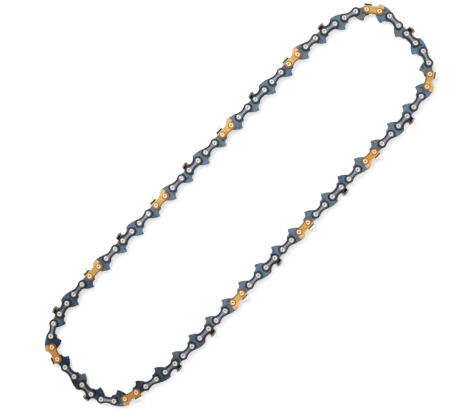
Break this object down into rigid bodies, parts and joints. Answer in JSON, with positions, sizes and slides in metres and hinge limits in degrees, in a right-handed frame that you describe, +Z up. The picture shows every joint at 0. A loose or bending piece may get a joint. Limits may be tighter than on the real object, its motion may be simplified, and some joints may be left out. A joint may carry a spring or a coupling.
{
  "type": "saw chain loop",
  "caption": "Closed loop of low-profile saw chain: hooked drive links, tie straps and alternating left and right cutters with depth gauges, joined by peened rivets.",
  "frame": {"origin": "middle of the loop's box, on the surface that it lies on", "axes": "+X along the straight strands, +Z up, along the rivets"},
  "size_m": [0.381, 0.1072, 0.0063],
  "materials": {
    "blued_link": "heat-blued stamped steel",
    "gold_cutter": "gold-coloured coated steel"
  },
  "bodies": {
    "cutter_link_01": {"cutter_link_01": "blued_link"},
    "strap_link_01": {"strap_link_01": "blued_link"},
    "cutter_link_02": {"cutter_link_02": "blued_link", "right_cutter_02": "gold_cutter"},
    "strap_link_02": {"strap_link_02": "blued_link"},
    "cutter_link_03": {"cutter_link_03": "blued_link"},
    "strap_link_03": {"strap_link_03": "blued_link"},
    "cutter_link_04": {"cutter_link_04": "blued_link", "right_cutter_04": "gold_cutter"},
    "strap_link_04": {"strap_link_04": "blued_link"},
    "cutter_link_05": {"cutter_link_05": "blued_link"},
    "strap_link_05": {"strap_link_05": "blued_link"},
    "cutter_link_06": {"cutter_link_06": "blued_link", "right_cutter_06": "gold_cutter"},
    "strap_link_06": {"strap_link_06": "blued_link"},
    "cutter_link_07": {"cutter_link_07": "blued_link"},
    "strap_link_07": {"strap_link_07": "blued_link"},
    "cutter_link_08": {"cutter_link_08": "blued_link", "right_cutter_08": "gold_cutter"},
    "strap_link_08": {"strap_link_08": "blued_link"},
    "cutter_link_09": {"cutter_link_09": "blued_link"},
    "strap_link_09": {"strap_link_09": "blued_link"},
    "cutter_link_10": {"cutter_link_10": "blued_link", "right_cutter_10": "gold_cutter"},
    "strap_link_10": {"strap_link_10": "blued_link"},
    "cutter_link_11": {"cutter_link_11": "blued_link"},
    "strap_link_11": {"strap_link_11": "blued_link"},
    "cutter_link_12": {"cutter_link_12": "blued_link", "right_cutter_12": "gold_cutter"},
    "strap_link_12": {"strap_link_12": "blued_link"},
    "cutter_link_13": {"cutter_link_13": "blued_link"},
    "strap_link_13": {"strap_link_13": "blued_link"},
    "cutter_link_14": {"cutter_link_14": "blued_link", "right_cutter_14": "gold_cutter"},
    "strap_link_14": {"strap_link_14": "blued_link"},
    "cutter_link_15": {"cutter_link_15": "blued_link"},
    "strap_link_15": {"strap_link_15": "blued_link"},
    "cutter_link_16": {"cutter_link_16": "blued_link", "right_cutter_16": "gold_cutter"},
    "strap_link_16": {"strap_link_16": "blued_link"},
    "cutter_link_17": {"cutter_link_17": "blued_link"},
    "strap_link_17": {"strap_link_17": "blued_link"},
    "cutter_link_18": {"cutter_link_18": "blued_link", "right_cutter_18": "gold_cutter"},
    "strap_link_18": {"strap_link_18": "blued_link"},
    "cutter_link_19": {"cutter_link_19": "blued_link"},
    "strap_link_19": {"strap_link_19": "blued_link"},
    "cutter_link_20": {"cutter_link_20": "blued_link", "right_cutter_20": "gold_cutter"},
    "strap_link_20": {"strap_link_20": "blued_link"},
    "cutter_link_21": {"cutter_link_21": "blued_link"},
    "strap_link_21": {"strap_link_21": "blued_link"},
    "cutter_link_22": {"cutter_link_22": "blued_link", "right_cutter_22": "gold_cutter"},
    "strap_link_22": {"strap_link_22": "blued_link"},
    "cutter_link_23": {"cutter_link_23": "blued_link"},
    "strap_link_23": {"strap_link_23": "blued_link"}
  },
  "joints": [
    {"name": "rivet_01", "type": "hinge", "parent": "strap_link_01", "child": "cutter_link_01", "pos_m": [-0.08554, -0.04712, 0.00314], "axis": [0, 0, -1], "range_deg": [-0.7, 3.5]},
    {"name": "rivet_02", "type": "hinge", "parent": "cutter_link_02", "child": "strap_link_01", "pos_m": [-0.0669, -0.04712, 0.00314], "axis": [0, 0, -1], "range_deg": [-0.7, 3.5]},
    {"name": "rivet_03", "type": "hinge", "parent": "strap_link_02", "child": "cutter_link_02", "pos_m": [-0.04826, -0.04712, 0.00314], "axis": [0, 0, -1], "range_deg": [-0.88, 4.38]},
    {"name": "rivet_04", "type": "hinge", "parent": "cutter_link_03", "child": "strap_link_02", "pos_m": [-0.02962, -0.04712, 0.00314], "axis": [0, 0, -1], "range_deg": [-0.7, 3.5]},
    {"name": "rivet_05", "type": "hinge", "parent": "strap_link_03", "child": "cutter_link_03", "pos_m": [-0.01098, -0.04712, 0.00314], "axis": [0, 0, -1], "range_deg": [-0.7, 3.5]},
    {"name": "rivet_06", "type": "hinge", "parent": "cutter_link_04", "child": "strap_link_03", "pos_m": [0.00766, -0.04712, 0.00314], "axis": [0, 0, -1], "range_deg": [-0.7, 3.5]},
    {"name": "rivet_07", "type": "hinge", "parent": "strap_link_04", "child": "cutter_link_04", "pos_m": [0.0263, -0.04712, 0.00314], "axis": [0, 0, -1], "range_deg": [-0.88, 4.38]},
    {"name": "rivet_08", "type": "hinge", "parent": "cutter_link_05", "child": "strap_link_04", "pos_m": [0.04494, -0.04712, 0.00314], "axis": [0, 0, -1], "range_deg": [-0.7, 3.5]},
    {"name": "rivet_09", "type": "hinge", "parent": "strap_link_05", "child": "cutter_link_05", "pos_m": [0.06358, -0.04712, 0.00314], "axis": [0, 0, -1], "range_deg": [-0.7, 3.5]},
    {"name": "rivet_10", "type": "hinge", "parent": "cutter_link_06", "child": "strap_link_05", "pos_m": [0.08222, -0.04712, 0.00314], "axis": [0, 0, -1], "range_deg": [-0.7, 3.5]},
    {"name": "rivet_11", "type": "hinge", "parent": "strap_link_06", "child": "cutter_link_06", "pos_m": [0.10086, -0.04712, 0.00314], "axis": [0, 0, -1], "range_deg": [-0.88, 4.38]},
    {"name": "rivet_12", "type": "hinge", "parent": "cutter_link_07", "child": "strap_link_06", "pos_m": [0.1195, -0.04712, 0.00314], "axis": [0, 0, -1], "range_deg": [-0.7, 3.5]},
    {"name": "rivet_13", "type": "hinge", "parent": "strap_link_07", "child": "cutter_link_07", "pos_m": [0.13812, -0.04662, 0.00314], "axis": [0, 0, -1], "range_deg": [-0.7, 3.5]},
    {"name": "rivet_14", "type": "hinge", "parent": "cutter_link_08", "child": "strap_link_07", "pos_m": [0.15661, -0.04424, 0.00314], "axis": [0, 0, -1], "range_deg": [-0.7, 3.5]},
    {"name": "rivet_15", "type": "hinge", "parent": "strap_link_08", "child": "cutter_link_08", "pos_m": [0.1737, -0.03745, 0.00314], "axis": [0, 0, -1], "range_deg": [-17.5, 3.5]},
    {"name": "rivet_16", "type": "hinge", "parent": "cutter_link_09", "child": "strap_link_08", "pos_m": [0.18311, -0.02165, 0.00314], "axis": [0, 0, -1], "range_deg": [-17.5, 3.5]},
    {"name": "rivet_17", "type": "hinge", "parent": "strap_link_09", "child": "cutter_link_09", "pos_m": [0.18411, -0.00304, 0.00314], "axis": [0, 0, -1], "range_deg": [-0.88, 4.38]},
    {"name": "rivet_18", "type": "hinge", "parent": "cutter_link_10", "child": "strap_link_09", "pos_m": [0.18499, 0.01558, 0.00314], "axis": [0, 0, -1], "range_deg": [-17.5, 3.5]},
    {"name": "rivet_19", "type": "hinge", "parent": "strap_link_10", "child": "cutter_link_10", "pos_m": [0.17686, 0.03208, 0.00314], "axis": [0, 0, -1], "range_deg": [-17.5, 3.5]},
    {"name": "rivet_20", "type": "hinge", "parent": "cutter_link_11", "child": "strap_link_10", "pos_m": [0.16035, 0.04019, 0.00314], "axis": [0, 0, -1], "range_deg": [-0.7, 3.5]},
    {"name": "rivet_21", "type": "hinge", "parent": "strap_link_11", "child": "cutter_link_11", "pos_m": [0.14219, 0.04436, 0.00314], "axis": [0, 0, -1], "range_deg": [-0.7, 3.5]},
    {"name": "rivet_22", "type": "hinge", "parent": "cutter_link_12", "child": "strap_link_11", "pos_m": [0.1237, 0.04668, 0.00314], "axis": [0, 0, -1], "range_deg": [-0.7, 3.5]},
    {"name": "rivet_23", "type": "hinge", "parent": "cutter_link_12", "child": "strap_link_12", "pos_m": [0.10507, 0.04712, 0.00314], "axis": [0, 0, 1], "range_deg": [-0.7, 3.5]},
    {"name": "rivet_24", "type": "hinge", "parent": "strap_link_12", "child": "cutter_link_13", "pos_m": [0.08643, 0.04712, 0.00314], "axis": [0, 0, 1], "range_deg": [-0.7, 3.5]},
    {"name": "rivet_25", "type": "hinge", "parent": "cutter_link_13", "child": "strap_link_13", "pos_m": [0.06779, 0.04712, 0.00314], "axis": [0, 0, 1], "range_deg": [-0.7, 3.5]},
    {"name": "rivet_26", "type": "hinge", "parent": "strap_link_13", "child": "cutter_link_14", "pos_m": [0.04915, 0.04712, 0.00314], "axis": [0, 0, 1], "range_deg": [-0.88, 4.38]},
    {"name": "rivet_27", "type": "hinge", "parent": "cutter_link_14", "child": "strap_link_14", "pos_m": [0.03051, 0.04712, 0.00314], "axis": [0, 0, 1], "range_deg": [-0.7, 3.5]},
    {"name": "rivet_28", "type": "hinge", "parent": "strap_link_14", "child": "cutter_link_15", "pos_m": [0.01187, 0.04712, 0.00314], "axis": [0, 0, 1], "range_deg": [-0.7, 3.5]},
    {"name": "rivet_29", "type": "hinge", "parent": "cutter_link_15", "child": "strap_link_15", "pos_m": [-0.00677, 0.04712, 0.00314], "axis": [0, 0, 1], "range_deg": [-0.7, 3.5]},
    {"name": "rivet_30", "type": "hinge", "parent": "strap_link_15", "child": "cutter_link_16", "pos_m": [-0.02541, 0.04712, 0.00314], "axis": [0, 0, 1], "range_deg": [-0.88, 4.38]},
    {"name": "rivet_31", "type": "hinge", "parent": "cutter_link_16", "child": "strap_link_16", "pos_m": [-0.04405, 0.04712, 0.00314], "axis": [0, 0, 1], "range_deg": [-0.7, 3.5]},
    {"name": "rivet_32", "type": "hinge", "parent": "strap_link_16", "child": "cutter_link_17", "pos_m": [-0.06269, 0.04712, 0.00314], "axis": [0, 0, 1], "range_deg": [-0.7, 3.5]},
    {"name": "rivet_33", "type": "hinge", "parent": "cutter_link_17", "child": "strap_link_17", "pos_m": [-0.08133, 0.04712, 0.00314], "axis": [0, 0, 1], "range_deg": [-0.7, 3.5]},
    {"name": "rivet_34", "type": "hinge", "parent": "strap_link_17", "child": "cutter_link_18", "pos_m": [-0.09997, 0.04712, 0.00314], "axis": [0, 0, 1], "range_deg": [-0.88, 4.38]},
    {"name": "rivet_35", "type": "hinge", "parent": "cutter_link_18", "child": "strap_link_18", "pos_m": [-0.11861, 0.04712, 0.00314], "axis": [0, 0, 1], "range_deg": [-0.7, 3.5]},
    {"name": "rivet_36", "type": "hinge", "parent": "strap_link_18", "child": "cutter_link_19", "pos_m": [-0.13724, 0.04662, 0.00314], "axis": [0, 0, 1], "range_deg": [-0.7, 3.5]},
    {"name": "rivet_37", "type": "hinge", "parent": "cutter_link_19", "child": "strap_link_19", "pos_m": [-0.15572, 0.04424, 0.00314], "axis": [0, 0, 1], "range_deg": [-0.7, 3.5]},
    {"name": "rivet_38", "type": "hinge", "parent": "strap_link_19", "child": "cutter_link_20", "pos_m": [-0.17281, 0.03745, 0.00314], "axis": [0, 0, 1], "range_deg": [-17.5, 3.5]},
    {"name": "rivet_39", "type": "hinge", "parent": "cutter_link_20", "child": "strap_link_20", "pos_m": [-0.18222, 0.02165, 0.00314], "axis": [0, 0, 1], "range_deg": [-17.5, 3.5]},
    {"name": "rivet_40", "type": "hinge", "parent": "strap_link_20", "child": "cutter_link_21", "pos_m": [-0.18322, 0.00304, 0.00314], "axis": [0, 0, 1], "range_deg": [-0.88, 4.38]},
    {"name": "rivet_41", "type": "hinge", "parent": "cutter_link_21", "child": "strap_link_21", "pos_m": [-0.1841, -0.01558, 0.00314], "axis": [0, 0, 1], "range_deg": [-17.5, 3.5]},
    {"name": "rivet_42", "type": "hinge", "parent": "strap_link_21", "child": "cutter_link_22", "pos_m": [-0.17597, -0.03208, 0.00314], "axis": [0, 0, 1], "range_deg": [-17.5, 3.5]},
    {"name": "rivet_43", "type": "hinge", "parent": "cutter_link_22", "child": "strap_link_22", "pos_m": [-0.15946, -0.04019, 0.00314], "axis": [0, 0, 1], "range_deg": [-0.7, 3.5]},
    {"name": "rivet_44", "type": "hinge", "parent": "strap_link_22", "child": "cutter_link_23", "pos_m": [-0.1413, -0.04436, 0.00314], "axis": [0, 0, 1], "range_deg": [-0.7, 3.5]},
    {"name": "rivet_45", "type": "hinge", "parent": "cutter_link_23", "child": "strap_link_23", "pos_m": [-0.12281, -0.04668, 0.00314], "axis": [0, 0, 1], "range_deg": [-0.7, 3.5]}
  ],
  "couplings": [
    {"joint": "rivet_01", "follows": "rivet_16", "ratio": -0.2},
    {"joint": "rivet_02", "follows": "rivet_18", "ratio": -0.2},
    {"joint": "rivet_03", "follows": "rivet_19", "ratio": -0.25},
    {"joint": "rivet_04", "follows": "rivet_15", "ratio": -0.2},
    {"joint": "rivet_05", "follows": "rivet_16", "ratio": -0.2},
    {"joint": "rivet_06", "follows": "rivet_18", "ratio": -0.2},
    {"joint": "rivet_07", "follows": "rivet_19", "ratio": -0.25},
    {"joint": "rivet_08", "follows": "rivet_15", "ratio": -0.2},
    {"joint": "rivet_09", "follows": "rivet_16", "ratio": -0.2},
    {"joint": "rivet_10", "follows": "rivet_18", "ratio": -0.2},
    {"joint": "rivet_11", "follows": "rivet_19", "ratio": -0.25},
    {"joint": "rivet_12", "follows": "rivet_15", "ratio": -0.2},
    {"joint": "rivet_13", "follows": "rivet_16", "ratio": -0.2},
    {"joint": "rivet_14", "follows": "rivet_18", "ratio": -0.2},
    {"joint": "rivet_17", "follows": "rivet_19", "ratio": -0.25},
    {"joint": "rivet_20", "follows": "rivet_15", "ratio": -0.2},
    {"joint": "rivet_21", "follows": "rivet_18", "ratio": -0.2},
    {"joint": "rivet_22", "follows": "rivet_16", "ratio": -0.2},
    {"joint": "rivet_23", "follows": "rivet_15", "ratio": -0.2},
    {"joint": "rivet_24", "follows": "rivet_16", "ratio": -0.2},
    {"joint": "rivet_25", "follows": "rivet_18", "ratio": -0.2},
    {"joint": "rivet_26", "follows": "rivet_19", "ratio": -0.25},
    {"joint": "rivet_27", "follows": "rivet_15", "ratio": -0.2},
    {"joint": "rivet_28", "follows": "rivet_16", "ratio": -0.2},
    {"joint": "rivet_29", "follows": "rivet_18", "ratio": -0.2},
    {"joint": "rivet_30", "follows": "rivet_19", "ratio": -0.25},
    {"joint": "rivet_31", "follows": "rivet_15", "ratio": -0.2},
    {"joint": "rivet_32", "follows": "rivet_16", "ratio": -0.2},
    {"joint": "rivet_33", "follows": "rivet_18", "ratio": -0.2},
    {"joint": "rivet_34", "follows": "rivet_19", "ratio": -0.25},
    {"joint": "rivet_35", "follows": "rivet_15", "ratio": -0.2},
    {"joint": "rivet_36", "follows": "rivet_16", "ratio": -0.2},
    {"joint": "rivet_37", "follows": "rivet_18", "ratio": -0.2},
    {"joint": "rivet_38", "follows": "rivet_15", "ratio": 1},
    {"joint": "rivet_39", "follows": "rivet_16", "ratio": 1},
    {"joint": "rivet_40", "follows": "rivet_19", "ratio": -0.25},
    {"joint": "rivet_41", "follows": "rivet_18", "ratio": 1},
    {"joint": "rivet_42", "follows": "rivet_19", "ratio": 1},
    {"joint": "rivet_43", "follows": "rivet_15", "ratio": -0.2},
    {"joint": "rivet_44", "follows": "rivet_18", "ratio": -0.2},
    {"joint": "rivet_45", "follows": "rivet_16", "ratio": -0.2}
  ]
}
